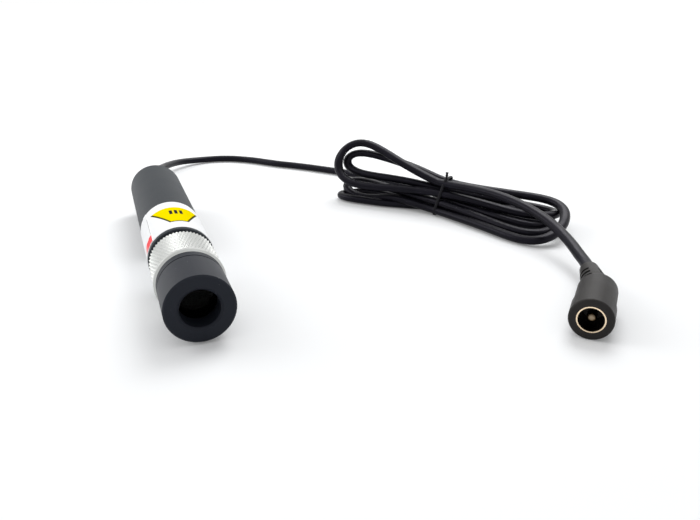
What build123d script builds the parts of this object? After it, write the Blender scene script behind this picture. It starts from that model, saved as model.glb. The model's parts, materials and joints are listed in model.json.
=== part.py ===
from build123d import *

import os
from math import cos, pi, radians, sin, tan

# Laser diode module: a tubular housing with its driver and diode, a hand-turned focusing head
# with a knurled ring, and a two-core lead wound into a tied hank that ends in a power socket.
# Frame: +Z up, the beam leaves towards -Y, the module lies along Y on the plane Z = 0 and the
# origin is under the middle of its length. All sizes are in millimetres.

os.makedirs("parts", exist_ok=True)

# Clearances
running_clearance = 0.05
thread_clearance = 0.03
face_clearance = 0.02
glass_clearance = 0.05
board_clearance = 0.15

# Housing
housing_diameter = 16.0
housing_length = 68.65
housing_wall = 1.0
housing_chamfer = 0.3
nose_bore = 10.4
nose_wall = 1.3
nose_length = 9.0
nose_seat_depth = 2.0

# Focusing head
focus_gap = 1.85
ring_stand_out = 0.1
ring_length = 13.05
rim_length = 1.3
rim_chamfer = 0.45
knurl_starts = 60
knurl_helix = 18.0
knurl_depth = 0.3
knurl_drop = 0.03
head_step_in = 0.35
head_wall = 1.25
head_length = 14.15
head_edge = 0.3
aperture_diameter = 8.6
aperture_chamfer = 0.5
aperture_depth = 5.0
spigot_wall = 0.6
spigot_length = 4.0
groove_setback = 2.2
groove_width = 0.35
groove_depth = 0.25

# Optics in the head
window_thickness = 1.0
retainer_bore = 9.6
retainer_length = 1.5
spanner_slot = 1.2
spanner_depth = 0.6
cell_gap = 1.0
cell_length = 8.0
cell_lip = 1.0
lens_diameter = 10.0
lens_edge = 2.0
lens_sag = 1.1
lens_bore = 8.4
lens_ring_length = 1.6
washer_wall = 1.3
washer_thickness = 0.5
spring_wire = 0.5
spring_turns = 5.5

# Diode and its holder
holder_gap = 1.0
holder_flange_length = 4.0
beam_bore = 4.0
diode_base_diameter = 5.6
diode_base_thickness = 1.2
diode_cap_diameter = 3.55
diode_cap_length = 2.3
diode_port = 1.4
diode_port_depth = 0.3
diode_depth = 7.8
pin_diameter = 0.45
pin_circle = 2.0
clamp_diameter = 7.0
clamp_bore = 3.2
clamp_length = 1.5
tail_bore = 8.4

# Driver board
board_gap = 0.3
board_length = 33.0
board_thickness = 1.05
tongue_width = 6.0
tongue_length = 2.2
chip_size = (4.0, 5.0, 1.5)
chip_legs = 4
chip_leg_pitch = 1.27
chip_leg_size = (1.0, 0.4, 0.4)
capacitor_size = (2.8, 3.5, 1.9)
resistor_size = (1.2, 2.0, 0.5)
trimmer_size = (3.6, 3.6, 1.6)
trimmer_rotor = 2.6
trimmer_slot = 0.5
trimmer_rise = 0.4

# Rear end and lead
cap_length = 5.0
cap_recess = 0.4
grommet_flange = 6.8
grommet_tip = 4.6
grommet_stand_out = 2.3
grommet_neck = 5.0
grommet_rim = 0.5
grommet_inner_length = 1.0
grommet_bevel = 0.4
cord_diameter = 2.8
crimp_length = 3.0
crimp_wall = 0.6
core_diameter = 1.1
core_spacing = 1.3
core_gap = 0.1
core_straight = 3.0
strip_length = 1.5
pad_inset = 2.5
pad_approach = 3.5
lead_straight = 6.0
floor_clearance = 0.05

# Label
label_start = 30.5
label_length = 21.9
label_thickness = 0.1
label_seam_angle = 50.0
label_overlap_angle = 9.0

# Hank tie
tie_width = 1.3
tie_thickness = 0.7
tie_clearance = 0.15
tie_end_length = 2.2

# Power socket on the lead
socket_diameter = 9.5
socket_front_length = 6.0
socket_body_length = 17.0
socket_step = 0.25
socket_edge = 0.5
socket_shoulder = 1.5
socket_bore = 5.5
socket_sleeve_wall = 0.3
socket_sleeve_length = 9.5
socket_sleeve_recess = 0.1
socket_pin_diameter = 2.1
socket_pin_recess = 1.0
socket_pin_nose = 0.84
socket_core_length = 2.5
relief_root_diameter = 7.2
relief_end_diameter = 4.6
relief_length = 13.0
relief_straight = 4.0
relief_root_depth = 1.5
relief_bend = 13.0
relief_slots = 3
relief_first_slot = 1.4
relief_slot_cut = 0.3
relief_slot_width = 1.1
relief_slot_pitch = 2.3
relief_spine = 2.2
socket_heading = 45.0
socket_place = (76.7, -77.2)
lug_size = (1.6, 0.4, 4.0)

# Radii and stations worked out from the sizes above
housing_radius = housing_diameter / 2
bore_radius = housing_radius - housing_wall
nose_radius = nose_bore / 2 + nose_wall
ring_radius = housing_radius + ring_stand_out
head_radius = housing_radius - head_step_in
cavity_radius = head_radius - head_wall
spigot_radius = cavity_radius + spigot_wall
label_radius = housing_radius + label_thickness
axis_height = max(ring_radius, label_radius)
shoulder_station = head_length + ring_length + focus_gap
nose_station = shoulder_station - nose_length
housing_end_station = shoulder_station + housing_length
module_length = housing_end_station + grommet_stand_out
front_y = -module_length / 2
window_station = aperture_depth
retainer_station = window_station + window_thickness
cell_station = retainer_station + retainer_length + cell_gap
lens_station = cell_station + cell_lip
lens_ring_station = lens_station + lens_edge
washer_station = lens_ring_station + lens_ring_length + face_clearance
spring_station = washer_station + washer_thickness + face_clearance
holder_station = nose_station + holder_gap
holder_flange_station = shoulder_station + nose_seat_depth
holder_end_station = holder_flange_station + holder_flange_length
diode_base_station = holder_station + diode_depth
clamp_station = diode_base_station + diode_base_thickness
board_station = holder_end_station - tongue_length
board_body_station = holder_end_station + board_gap
cap_station = housing_end_station - cap_recess - cap_length
optical_axis = Axis((0, 0, axis_height), (0, 1, 0))
turning_plane = Plane(origin=(0, front_y, axis_height), x_dir=(0, 1, 0), z_dir=(1, 0, 0))


def station(distance):
    """The plane across the module at that distance behind the head's front face, facing back."""
    return Plane(origin=(0, front_y + distance, axis_height), x_dir=(-1, 0, 0), z_dir=(0, 1, 0))


def bend_radii(points):
    """The largest arc that each corner of a route has room for."""
    radii = []
    for before, corner, after in zip(points, points[1:], points[2:]):
        arriving = Vector(*corner) - Vector(*before)
        leaving = Vector(*after) - Vector(*corner)
        half_turn = radians(arriving.get_angle(leaving)) / 2
        radii.append(0.45 * min(arriving.length, leaving.length) / tan(half_turn))
    return radii


def knurl_point(row, step):
    """A point where the knurl's two hands of grooves cross, or the crest between two crossings."""
    is_crest = (row + step) % 2 == 1
    radius = crest_radius if is_crest else crest_radius - knurl_depth
    turn = pi * step / knurl_starts
    along = front_y + head_length + rim_length + row * knurl_length / knurl_rows
    return (radius * sin(turn), along, axis_height + radius * cos(turn))


def knurl_facets():
    """The flanks of the knurl's four-sided points, and the flat face at each end."""
    steps = 2 * knurl_starts
    facets = []
    for end_row in (0, knurl_rows):
        facets.append(Face(Wire.make_polygon([knurl_point(end_row, step) for step in range(steps)])))
    for row in range(knurl_rows + 1):
        for step in range((row + 1) % 2, steps, 2):
            for next_row in (row - 1, row + 1):
                for next_step in (step - 1, step + 1):
                    if 0 <= next_row <= knurl_rows:
                        corners = [(row, step), (row, next_step), (next_row, step)]
                        facets.append(Face(Wire.make_polygon([knurl_point(*corner) for corner in corners])))
    return facets


# Housing tube with the nose that the focusing head screws onto
with BuildPart() as housing_tube:
    with BuildSketch(station(shoulder_station)):
        Circle(housing_radius)
    extrude(amount=housing_length)
    with BuildSketch(station(nose_station)):
        Circle(nose_radius)
    extrude(amount=nose_length)
    with BuildSketch(station(nose_station)):
        Circle(nose_bore / 2)
    extrude(amount=nose_length + nose_seat_depth, mode=Mode.SUBTRACT)
    with BuildSketch(station(holder_flange_station)):
        Circle(bore_radius)
    extrude(amount=housing_length - nose_seat_depth, mode=Mode.SUBTRACT)
    outer_rims = housing_tube.edges().filter_by(
        lambda edge: edge.geom_type == GeomType.CIRCLE and edge.radius > housing_radius - 0.01
    )
    chamfer(outer_rims, length=housing_chamfer)

# Knurled ring: a bright plain rim in front, then a diamond knurl to its rear edge
crest_radius = ring_radius - knurl_drop
knurl_length = ring_length - rim_length
crest_pitch = pi * crest_radius / knurl_starts / tan(radians(knurl_helix))
knurl_rows = max(1, round(knurl_length / crest_pitch))
knurled_band = Solid(Shell(knurl_facets()))
with BuildPart() as focus_ring:
    with BuildSketch(station(head_length)):
        Circle(ring_radius)
    extrude(amount=rim_length)
    front_rim = focus_ring.edges().filter_by(GeomType.CIRCLE).sort_by(Axis.Y)[0]
    chamfer(front_rim, length=rim_chamfer)
    add(knurled_band)
    with BuildSketch(station(head_length)):
        Circle(spigot_radius)
    extrude(amount=spigot_length, mode=Mode.SUBTRACT)
    with BuildSketch(station(head_length)):
        Circle(nose_radius + running_clearance)
    extrude(amount=ring_length, mode=Mode.SUBTRACT)

# Head shell: the aperture, the seat of the window and the spigot that holds the ring
with BuildPart() as head_shell:
    with BuildSketch(turning_plane):
        with BuildLine():
            Polyline(
                (0, aperture_diameter / 2 + aperture_chamfer),
                (0, head_radius - head_edge),
                (head_edge, head_radius),
                (head_length - groove_setback - groove_width, head_radius),
                (head_length - groove_setback - groove_width, head_radius - groove_depth),
                (head_length - groove_setback, head_radius - groove_depth),
                (head_length - groove_setback, head_radius),
                (head_length, head_radius),
                (head_length, spigot_radius),
                (head_length + spigot_length, spigot_radius),
                (head_length + spigot_length, cavity_radius),
                (aperture_depth, cavity_radius),
                (aperture_depth, aperture_diameter / 2),
                (aperture_chamfer, aperture_diameter / 2),
                close=True,
            )
        make_face()
    revolve(axis=optical_axis)

# Flat window behind the aperture
with BuildPart() as front_window:
    with BuildSketch(station(window_station)):
        Circle(cavity_radius - glass_clearance)
    extrude(amount=window_thickness)

# Screwed ring that holds the window, with two slots for a spanner
with BuildPart() as window_retainer:
    with BuildSketch(station(retainer_station)):
        Circle(cavity_radius - thread_clearance)
        Circle(retainer_bore / 2, mode=Mode.SUBTRACT)
    extrude(amount=retainer_length)
    with BuildSketch(station(retainer_station + retainer_length)):
        Rectangle(2 * cavity_radius, spanner_slot)
    extrude(amount=-spanner_depth, mode=Mode.SUBTRACT)

# Lens cell screwed into the head, open to the back for the lens and the washer
with BuildPart() as lens_cell:
    with BuildSketch(station(cell_station)):
        Circle(cavity_radius - thread_clearance)
        Circle(lens_bore / 2, mode=Mode.SUBTRACT)
    extrude(amount=cell_length)
    with BuildSketch(station(lens_station)):
        Circle(lens_diameter / 2)
    extrude(amount=cell_length, mode=Mode.SUBTRACT)

# Collimating lens: plane in front, domed towards the diode
with BuildPart() as collimating_lens:
    with BuildSketch(turning_plane):
        lens_radius = lens_diameter / 2 - glass_clearance
        dome_foot = lens_bore / 2 - glass_clearance
        with BuildLine():
            Polyline(
                (lens_ring_station + lens_sag, 0),
                (lens_station, 0),
                (lens_station, lens_radius),
                (lens_ring_station, lens_radius),
                (lens_ring_station, dome_foot),
            )
            dome_radius = (dome_foot**2 + lens_sag**2) / (2 * lens_sag)
            RadiusArc((lens_ring_station, dome_foot), (lens_ring_station + lens_sag, 0), dome_radius)
        make_face()
    revolve(axis=optical_axis)

# Screwed ring behind the lens
with BuildPart() as lens_retainer:
    with BuildSketch(station(lens_ring_station)):
        Circle(lens_diameter / 2 - thread_clearance)
        Circle(lens_bore / 2, mode=Mode.SUBTRACT)
    extrude(amount=lens_ring_length)

# Slip washer between the turning lens ring and the spring, which doesn't turn
with BuildPart() as slip_washer:
    washer_radius = lens_diameter / 2 - 2 * running_clearance
    with BuildSketch(station(washer_station)):
        Circle(washer_radius)
        Circle(washer_radius - washer_wall, mode=Mode.SUBTRACT)
    extrude(amount=washer_thickness)

# Spring that takes up the thread's play, from the washer to the diode holder
with BuildPart() as focus_spring:
    spring_radius = washer_radius - washer_wall / 2
    spring_height = holder_station - spring_station - spring_wire - face_clearance
    with BuildLine():
        coil = Helix(
            pitch=spring_height / spring_turns,
            height=spring_height,
            radius=spring_radius,
            center=(0, front_y + spring_station + spring_wire / 2, axis_height),
            direction=(0, 1, 0),
        )
    with BuildSketch(Plane(origin=coil @ 0, z_dir=coil % 0)):
        Circle(spring_wire / 2)
    sweep(is_frenet=True)

# Diode holder: a stepped plug seated in the nose and the housing
with BuildPart() as diode_holder:
    with BuildSketch(station(holder_station)):
        Circle(nose_bore / 2 - thread_clearance)
    extrude(amount=holder_flange_station - holder_station)
    with BuildSketch(station(holder_flange_station)):
        Circle(bore_radius - thread_clearance)
    extrude(amount=holder_flange_length)
    with BuildSketch(station(holder_station)):
        Circle(beam_bore / 2)
    extrude(amount=diode_depth, mode=Mode.SUBTRACT)
    with BuildSketch(station(diode_base_station)):
        Circle(diode_base_diameter / 2)
    extrude(amount=diode_base_thickness, mode=Mode.SUBTRACT)
    with BuildSketch(station(clamp_station)):
        Circle(clamp_diameter / 2)
    extrude(amount=clamp_length, mode=Mode.SUBTRACT)
    with BuildSketch(station(clamp_station + clamp_length)):
        Circle(tail_bore / 2)
    extrude(amount=holder_end_station - clamp_station - clamp_length, mode=Mode.SUBTRACT)

# Diode can: base disc, cap and the port in the cap
with BuildPart() as diode_can:
    with BuildSketch(station(diode_base_station)):
        Circle(diode_base_diameter / 2 - glass_clearance)
    extrude(amount=diode_base_thickness)
    with BuildSketch(station(diode_base_station)):
        Circle(diode_cap_diameter / 2)
    extrude(amount=-diode_cap_length)
    with BuildSketch(station(diode_base_station - diode_cap_length)):
        Circle(diode_port / 2)
    extrude(amount=diode_port_depth, mode=Mode.SUBTRACT)

# Three diode pins, one over the board's tongue and two under it
with BuildPart() as diode_pins:
    pin_angles = (90, 210, 330)
    with BuildSketch(station(clamp_station)):
        for pin_angle in pin_angles:
            with Locations(
                (pin_circle / 2 * cos(radians(pin_angle)), pin_circle / 2 * sin(radians(pin_angle)))
            ):
                Circle(pin_diameter / 2)
    extrude(amount=holder_end_station - clamp_station)

# Screwed ring that clamps the diode's base
with BuildPart() as diode_clamp_ring:
    with BuildSketch(station(clamp_station)):
        Circle(clamp_diameter / 2 - thread_clearance)
        Circle(clamp_bore / 2, mode=Mode.SUBTRACT)
    extrude(amount=clamp_length)

# Driver board, its tongue held between the diode's pins
board_top = pin_circle / 2 - pin_diameter / 2
board_plane = Plane(origin=(0, front_y, axis_height + board_top), x_dir=(1, 0, 0), z_dir=(0, 0, 1))
board_width = 2 * ((bore_radius - board_clearance) ** 2 - board_top**2) ** 0.5
with BuildPart() as driver_board:
    with BuildSketch(board_plane):
        with Locations((0, board_station)):
            Rectangle(tongue_width, tongue_length + board_gap, align=(Align.CENTER, Align.MIN))
        with Locations((0, board_body_station)):
            Rectangle(board_width, board_length, align=(Align.CENTER, Align.MIN))
    extrude(amount=-board_thickness)
board_end_station = board_body_station + board_length


def board_spot(across, along):
    """A place on the board's top, by its share of the board's width and length."""
    return (across * board_width, board_body_station + along * board_length)


# Parts soldered on the board
with BuildPart() as driver_chip:
    with BuildSketch(board_plane):
        with Locations(board_spot(0.0, 0.42)):
            Rectangle(chip_size[0], chip_size[1])
    extrude(amount=chip_size[2])
    with BuildSketch(board_plane):
        with Locations(board_spot(0.0, 0.42)):
            with GridLocations(chip_size[0] + chip_leg_size[0], chip_leg_pitch, 2, chip_legs):
                Rectangle(chip_leg_size[0], chip_leg_size[1])
    extrude(amount=chip_leg_size[2])

with BuildPart() as board_capacitors:
    with BuildSketch(board_plane):
        with Locations(board_spot(-0.22, 0.16), board_spot(0.22, 0.16)):
            Rectangle(capacitor_size[0], capacitor_size[1])
    extrude(amount=capacitor_size[2])

with BuildPart() as board_resistors:
    with BuildSketch(board_plane):
        with Locations(board_spot(-0.3, 0.40), board_spot(-0.3, 0.52), board_spot(0.3, 0.46)):
            Rectangle(resistor_size[0], resistor_size[1])
    extrude(amount=resistor_size[2])

with BuildPart() as current_trimmer:
    with BuildSketch(board_plane):
        with Locations(board_spot(0.0, 0.72)):
            Rectangle(trimmer_size[0], trimmer_size[1])
    extrude(amount=trimmer_size[2])
    with BuildSketch(board_plane.offset(trimmer_size[2])):
        with Locations(board_spot(0.0, 0.72)):
            Circle(trimmer_rotor / 2)
            Rectangle(trimmer_rotor, trimmer_slot, rotation=35, mode=Mode.SUBTRACT)
    extrude(amount=trimmer_rise)

# Rear cap, the grommet in its hole and the crimp that keeps the lead from pulling out
with BuildPart() as rear_cap:
    with BuildSketch(station(cap_station)):
        Circle(bore_radius - thread_clearance)
        Circle(grommet_neck / 2, mode=Mode.SUBTRACT)
    extrude(amount=cap_length)

with BuildPart() as cable_grommet:
    cap_end = cap_station + cap_length
    grommet_bore = cord_diameter / 2 + thread_clearance
    with BuildSketch(turning_plane):
        with BuildLine():
            Polyline(
                (cap_station - grommet_inner_length, grommet_bore),
                (cap_station - grommet_inner_length, grommet_flange / 2 - grommet_bevel),
                (cap_station, grommet_flange / 2),
                (cap_station, grommet_neck / 2 - face_clearance),
                (cap_end, grommet_neck / 2 - face_clearance),
                (cap_end, grommet_flange / 2),
                (housing_end_station + grommet_rim, grommet_flange / 2),
                (module_length, grommet_tip / 2),
                (module_length, grommet_bore),
                close=True,
            )
        make_face()
    revolve(axis=optical_axis)

crimp_station = cap_station - grommet_inner_length - crimp_length
with BuildPart() as cable_crimp:
    with BuildSketch(station(crimp_station)):
        Circle(cord_diameter / 2 + crimp_wall)
        Circle(cord_diameter / 2 + thread_clearance, mode=Mode.SUBTRACT)
    extrude(amount=crimp_length)

# Two cores from the lead's stripped end to the board
lead_end_station = crimp_station - strip_length
pad_station = board_end_station - pad_inset


def core_route(side):
    """The points that one core follows, on that side of the axis."""
    across = side * core_spacing
    inside = side * (core_diameter + core_gap) / 2
    pad_height = axis_height + board_top + core_diameter / 2
    return [
        (inside, front_y + lead_end_station, axis_height),
        (inside, front_y + lead_end_station - core_straight, axis_height),
        (across, front_y + board_end_station + pad_approach, pad_height),
        (across, front_y + pad_station, pad_height),
    ]


supply_cores = {}
for core_name, side in (("supply_wire_positive", 1), ("supply_wire_negative", -1)):
    with BuildPart() as supply_core:
        core_points = core_route(side)
        with BuildLine():
            core_path = FilletPolyline(*core_points, radius=bend_radii(core_points))
        with BuildSketch(Plane(origin=core_path @ 0, z_dir=core_path % 0)):
            Circle(core_diameter / 2)
        sweep(path=core_path)
    supply_cores[core_name] = supply_core

# Label wrapped round the housing, its end lapped over its start
with BuildPart() as label_wrap:
    with BuildSketch(station(label_start)):
        Circle(label_radius)
        Circle(housing_radius, mode=Mode.SUBTRACT)
    extrude(amount=label_length)
    with BuildSketch(station(label_start)):
        with BuildLine():
            lap_from = 90 - label_seam_angle - label_overlap_angle
            lap_start = CenterArc((0, 0), label_radius, lap_from, label_overlap_angle)
            lap_end = CenterArc((0, 0), label_radius + label_thickness, lap_from, label_overlap_angle)
            Line(lap_start @ 0, lap_end @ 0)
            Line(lap_start @ 1, lap_end @ 1)
        make_face()
    extrude(amount=label_length)


def level_plane(origin, heading):
    """A plane that stands upright, its Y up and its Z level at that angle from +Y towards +X."""
    turn = radians(heading)
    return Plane(origin=origin, x_dir=(-cos(turn), sin(turn), 0), z_dir=(sin(turn), cos(turn), 0))


# Power socket: Z runs along the body away from the mouth, and the strain relief bends aside
socket_radius = socket_diameter / 2
socket_plane = level_plane((socket_place[0], socket_place[1], socket_radius), socket_heading)
relief_start = socket_plane.offset(socket_body_length - relief_root_depth)
relief_plane = level_plane(relief_start.origin, socket_heading - relief_bend)
sleeve_radius = socket_bore / 2 + socket_sleeve_wall
core_start = socket_sleeve_length - socket_core_length

with BuildPart() as socket_housing:
    with BuildSketch(socket_plane):
        Circle(socket_radius)
    extrude(amount=socket_front_length)
    with BuildSketch(socket_plane):
        Circle(socket_radius - socket_step)
    extrude(amount=socket_body_length)
    body_rims = socket_housing.edges().filter_by(GeomType.CIRCLE)
    fillet(body_rims.sort_by_distance(socket_plane.origin)[0], radius=socket_edge)
    fillet(body_rims.sort_by_distance(relief_start.origin)[0], radius=socket_shoulder)
    with BuildSketch(relief_plane):
        Circle(relief_root_diameter / 2)
    with BuildSketch(relief_plane.offset(relief_length)):
        Circle(relief_end_diameter / 2)
    loft()
    for slot in range(relief_slots):
        slot_place = relief_root_depth + relief_first_slot + slot * relief_slot_pitch
        with BuildSketch(relief_plane.offset(slot_place)):
            Circle(relief_root_diameter)
            Circle(relief_end_diameter / 2 - relief_slot_cut, mode=Mode.SUBTRACT)
            Rectangle(relief_spine, 2 * relief_root_diameter, mode=Mode.SUBTRACT)
        extrude(amount=relief_slot_width, mode=Mode.SUBTRACT)
    with BuildSketch(socket_plane):
        Circle(sleeve_radius)
    extrude(amount=socket_sleeve_length, mode=Mode.SUBTRACT)

with BuildPart() as socket_sleeve:
    with BuildSketch(socket_plane.offset(socket_sleeve_recess)):
        Circle(sleeve_radius)
        Circle(socket_bore / 2, mode=Mode.SUBTRACT)
    extrude(amount=socket_sleeve_length - socket_sleeve_recess)

with BuildPart() as socket_core:
    with BuildSketch(socket_plane.offset(core_start)):
        Circle(socket_bore / 2)
        Circle(socket_pin_diameter / 2, mode=Mode.SUBTRACT)
    extrude(amount=socket_core_length)

with BuildPart() as socket_pin:
    with BuildSketch(socket_plane.offset(socket_pin_recess)):
        Circle(socket_pin_diameter / 2)
    extrude(amount=socket_sleeve_length - socket_pin_recess)
    pin_tip = socket_pin.edges().filter_by(GeomType.CIRCLE).sort_by_distance(socket_plane.origin)[0]
    fillet(pin_tip, radius=socket_pin_nose)

# Hank: the outer shape of its turns, narrow at the tie and fanned out at both ends.
# Each section is its place and underside (x, y, z), its half-sizes along and across its lean,
# and the lean from upright.
hank_sections = (
    ((62.2, 39.2, 5.0), 3.2, 1.4, 30),
    ((64.8, 36.9, 1.0), 9.0, 3.2, 31),
    ((69.5, 32.4, 0.0), 11.8, 4.5, 33),
    ((78.5, 23.0, 0.0), 9.5, 5.0, 30),
    ((89.0, 12.5, tie_thickness + tie_clearance), 5.7, 5.2, 20),
    ((98.0, -2.5, 0.0), 8.0, 4.8, 58),
    ((105.0, -13.5, 0.0), 11.0, 3.8, 66),
    ((110.6, -19.6, 0.0), 8.2, 2.6, 70),
    ((113.4, -22.6, 0.6), 4.2, 1.3, 72),
)
hank_left = Vector(*hank_sections[0][0])
hank_right = Vector(*hank_sections[-1][0])
hank_axis = Vector(hank_right.X - hank_left.X, hank_right.Y - hank_left.Y, 0).normalized()


def hank_plane(section):
    """The plane across the hank at one section, its Y leaning to the back."""
    (x, y, underside), along, across, lean = section
    upward, backward = cos(radians(lean)), sin(radians(lean))
    rise = ((along * upward) ** 2 + (across * backward) ** 2) ** 0.5
    lean_across = Vector(-hank_axis.Y * upward, hank_axis.X * upward, -backward)
    return Plane(origin=(x, y, underside + rise), x_dir=lean_across, z_dir=hank_axis)


with BuildPart() as cable_hank:
    for section in hank_sections:
        with BuildSketch(hank_plane(section)):
            Ellipse(section[2], section[1])
    loft()
    split(bisect_by=Plane.XY, keep=Keep.TOP)

# Wire tie round the waist, its two twisted ends standing up
with BuildPart() as hank_tie:
    waist = hank_sections[len(hank_sections) // 2]
    waist_plane = hank_plane(waist)
    tie_across, tie_along = waist[2] + tie_clearance, waist[1] + tie_clearance
    with BuildSketch(waist_plane.offset(-tie_width / 2)):
        Ellipse(tie_across + tie_thickness, tie_along + tie_thickness)
        with Locations((0, tie_along)):
            Rectangle(tie_width, tie_end_length, align=(Align.CENTER, Align.MIN))
        Ellipse(tie_across, tie_along, mode=Mode.SUBTRACT)
    extrude(amount=tie_width)
    split(bisect_by=Plane.XY, keep=Keep.TOP)

# Route of the lead from its stripped end in the housing to the hank, then from hank to socket
floor_height = cord_diameter / 2 + floor_clearance
lead_route = [
    (0, front_y + lead_end_station, axis_height),
    (0, front_y + module_length + lead_straight, axis_height),
    (0.6, 66.5, 7.6),
    (2.2, 77.0, 6.5),
    (4.8, 87.0, 5.3),
    (8.6, 97.0, 4.1),
    (14.4, 106.6, 2.8),
    (23.8, 113.0, floor_height),
    (35.0, 112.4, floor_height),
    (45.0, 105.2, floor_height),
    (53.2, 94.6, floor_height),
    (62.7, 85.6, floor_height),
    (71.4, 75.2, floor_height),
    (80.0, 64.0, floor_height),
    (87.4, 51.0, floor_height),
    (92.6, 38.0, 2.4),
    (92.6, 28.5, 4.2),
    (90.6, 18.8, 5.6),
]
relief_tip = relief_plane.offset(relief_length).origin
relief_out = relief_tip + relief_plane.z_dir * relief_straight
tail_route = [
    (92.8, 4.5, 11.2),
    (97.0, -5.0, 12.2),
    (100.4, -15.0, 11.6),
    (101.7, -25.5, 9.6),
    (100.6, -35.5, 7.4),
    (98.4, -44.5, 5.6),
    tuple(relief_out),
    tuple(relief_tip),
]


def cord_tube(name, points):
    """A round cord along straight runs joined by arcs, with its radii and volume printed."""
    radii = bend_radii(points)
    with BuildPart() as tube:
        with BuildLine():
            path = FilletPolyline(*points, radius=radii)
        with BuildSketch(Plane(origin=path @ 0, z_dir=path % 0)):
            Circle(cord_diameter / 2)
        sweep(path=path)
    expected = pi * (cord_diameter / 2) ** 2 * path.length
    print(name, "length", round(path.length, 1), "radii", [round(r, 1) for r in radii])
    print(name, "volume", round(tube.part.volume, 1), "section times length", round(expected, 1))
    return tube


lead_run = cord_tube("lead_run", lead_route)
lead_tail = cord_tube("lead_tail", tail_route)

# Two solder lugs inside the moulding, from the sleeve and the pin to the cord
with BuildPart() as socket_lugs:
    with BuildSketch(socket_plane.offset(socket_sleeve_length)):
        with Locations((0, sleeve_radius - lug_size[1]), (0, 0)):
            Rectangle(lug_size[0], lug_size[1])
    extrude(amount=lug_size[2])

# The moulding closes round the lugs
with BuildPart() as socket_overmould:
    add(socket_housing.part)
    add(socket_lugs.part, mode=Mode.SUBTRACT)

pieces = {
    "housing_tube": housing_tube,
    "focus_ring": focus_ring,
    "head_shell": head_shell,
    "front_window": front_window,
    "window_retainer": window_retainer,
    "lens_cell": lens_cell,
    "collimating_lens": collimating_lens,
    "lens_retainer": lens_retainer,
    "slip_washer": slip_washer,
    "focus_spring": focus_spring,
    "diode_holder": diode_holder,
    "diode_can": diode_can,
    "diode_pins": diode_pins,
    "diode_clamp_ring": diode_clamp_ring,
    "driver_board": driver_board,
    "driver_chip": driver_chip,
    "board_capacitors": board_capacitors,
    "board_resistors": board_resistors,
    "current_trimmer": current_trimmer,
    "rear_cap": rear_cap,
    "cable_grommet": cable_grommet,
    "cable_crimp": cable_crimp,
    "label_wrap": label_wrap,
    "lead_run": lead_run,
    "cable_hank": cable_hank,
    "lead_tail": lead_tail,
    "hank_tie": hank_tie,
    "socket_overmould": socket_overmould,
    "socket_sleeve": socket_sleeve,
    "socket_core": socket_core,
    "socket_pin": socket_pin,
    "socket_lugs": socket_lugs,
    **supply_cores,
}
for name, piece in pieces.items():
    piece.part.label = name
    export_step(piece.part, f"parts/{name}.step")
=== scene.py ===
"""Looks of a laser diode module: finishes, label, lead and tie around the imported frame.

The module lies on a pale floor, and its lead is wound into a tied hank that ends in a power
socket. Lengths are in metres, apart from values whose name ends in mm and the sizes of a Loop,
which are in millimetres as in the part's source.
"""
from __future__ import annotations

import json
import logging
import math
from dataclasses import dataclass, field
from enum import Enum
from typing import Union

import bpy
import numpy as np
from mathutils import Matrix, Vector

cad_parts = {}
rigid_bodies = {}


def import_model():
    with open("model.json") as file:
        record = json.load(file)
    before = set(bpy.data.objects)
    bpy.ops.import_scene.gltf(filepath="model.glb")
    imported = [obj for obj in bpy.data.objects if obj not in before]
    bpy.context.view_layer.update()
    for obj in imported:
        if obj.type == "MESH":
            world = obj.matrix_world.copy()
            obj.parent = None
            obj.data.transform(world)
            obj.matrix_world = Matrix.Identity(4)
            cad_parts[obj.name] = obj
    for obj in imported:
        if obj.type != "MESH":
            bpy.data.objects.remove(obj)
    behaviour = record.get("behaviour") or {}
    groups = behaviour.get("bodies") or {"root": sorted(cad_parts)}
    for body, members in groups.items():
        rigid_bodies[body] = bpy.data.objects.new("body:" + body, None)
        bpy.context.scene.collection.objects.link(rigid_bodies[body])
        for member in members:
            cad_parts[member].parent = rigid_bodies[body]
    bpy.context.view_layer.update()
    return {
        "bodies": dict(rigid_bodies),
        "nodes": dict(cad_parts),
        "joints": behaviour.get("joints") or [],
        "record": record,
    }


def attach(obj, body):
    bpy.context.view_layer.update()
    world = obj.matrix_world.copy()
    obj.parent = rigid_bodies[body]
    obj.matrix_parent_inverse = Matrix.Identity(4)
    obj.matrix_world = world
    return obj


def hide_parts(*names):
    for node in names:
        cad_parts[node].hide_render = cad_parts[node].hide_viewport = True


log = logging.getLogger("laser_diode_module")
MM = 0.001
DUST = (0.55, 0.55, 0.57)
WHITE = (1.0, 1.0, 1.0, 1.0)
ELLIPSE = 2.0
TINY = 1e-9
Socket = bpy.types.NodeSocket
Input = Union[Socket, float, tuple]
Pair = tuple[float, float]
Triple = tuple[float, float, float]
Faces = list[tuple[int, ...]]


class Slot(Enum):
    """The record's material slots."""

    HOUSING = "housing_black"
    HEAD = "head_black"
    RING = "ring_silver"
    INNER = "inner_black"
    WINDOW = "window_glass"
    LENS = "lens_glass"
    WASHER = "washer_white"
    SPRING = "spring_steel"
    HOLDER = "holder_brass"
    CAN = "can_gold"
    BOARD = "board_green"
    CHIP = "chip_black"
    CERAMIC = "ceramic_tan"
    TRIMMER = "trimmer_blue"
    CAP = "cap_black"
    GROMMET = "grommet_black"
    CRIMP = "crimp_steel"
    LABEL = "label_film"
    CORD = "cord_black"
    TIE = "tie_black"
    OVERMOULD = "overmould_black"
    CONTACT = "contact_gold"
    CORE_BLACK = "core_black"
    CORE_RED = "core_red"
    CORE_DARK = "core_dark"


class End(Enum):
    """The two ends of the hank, seen from its tie."""

    LEFT = -1
    RIGHT = 1


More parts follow.
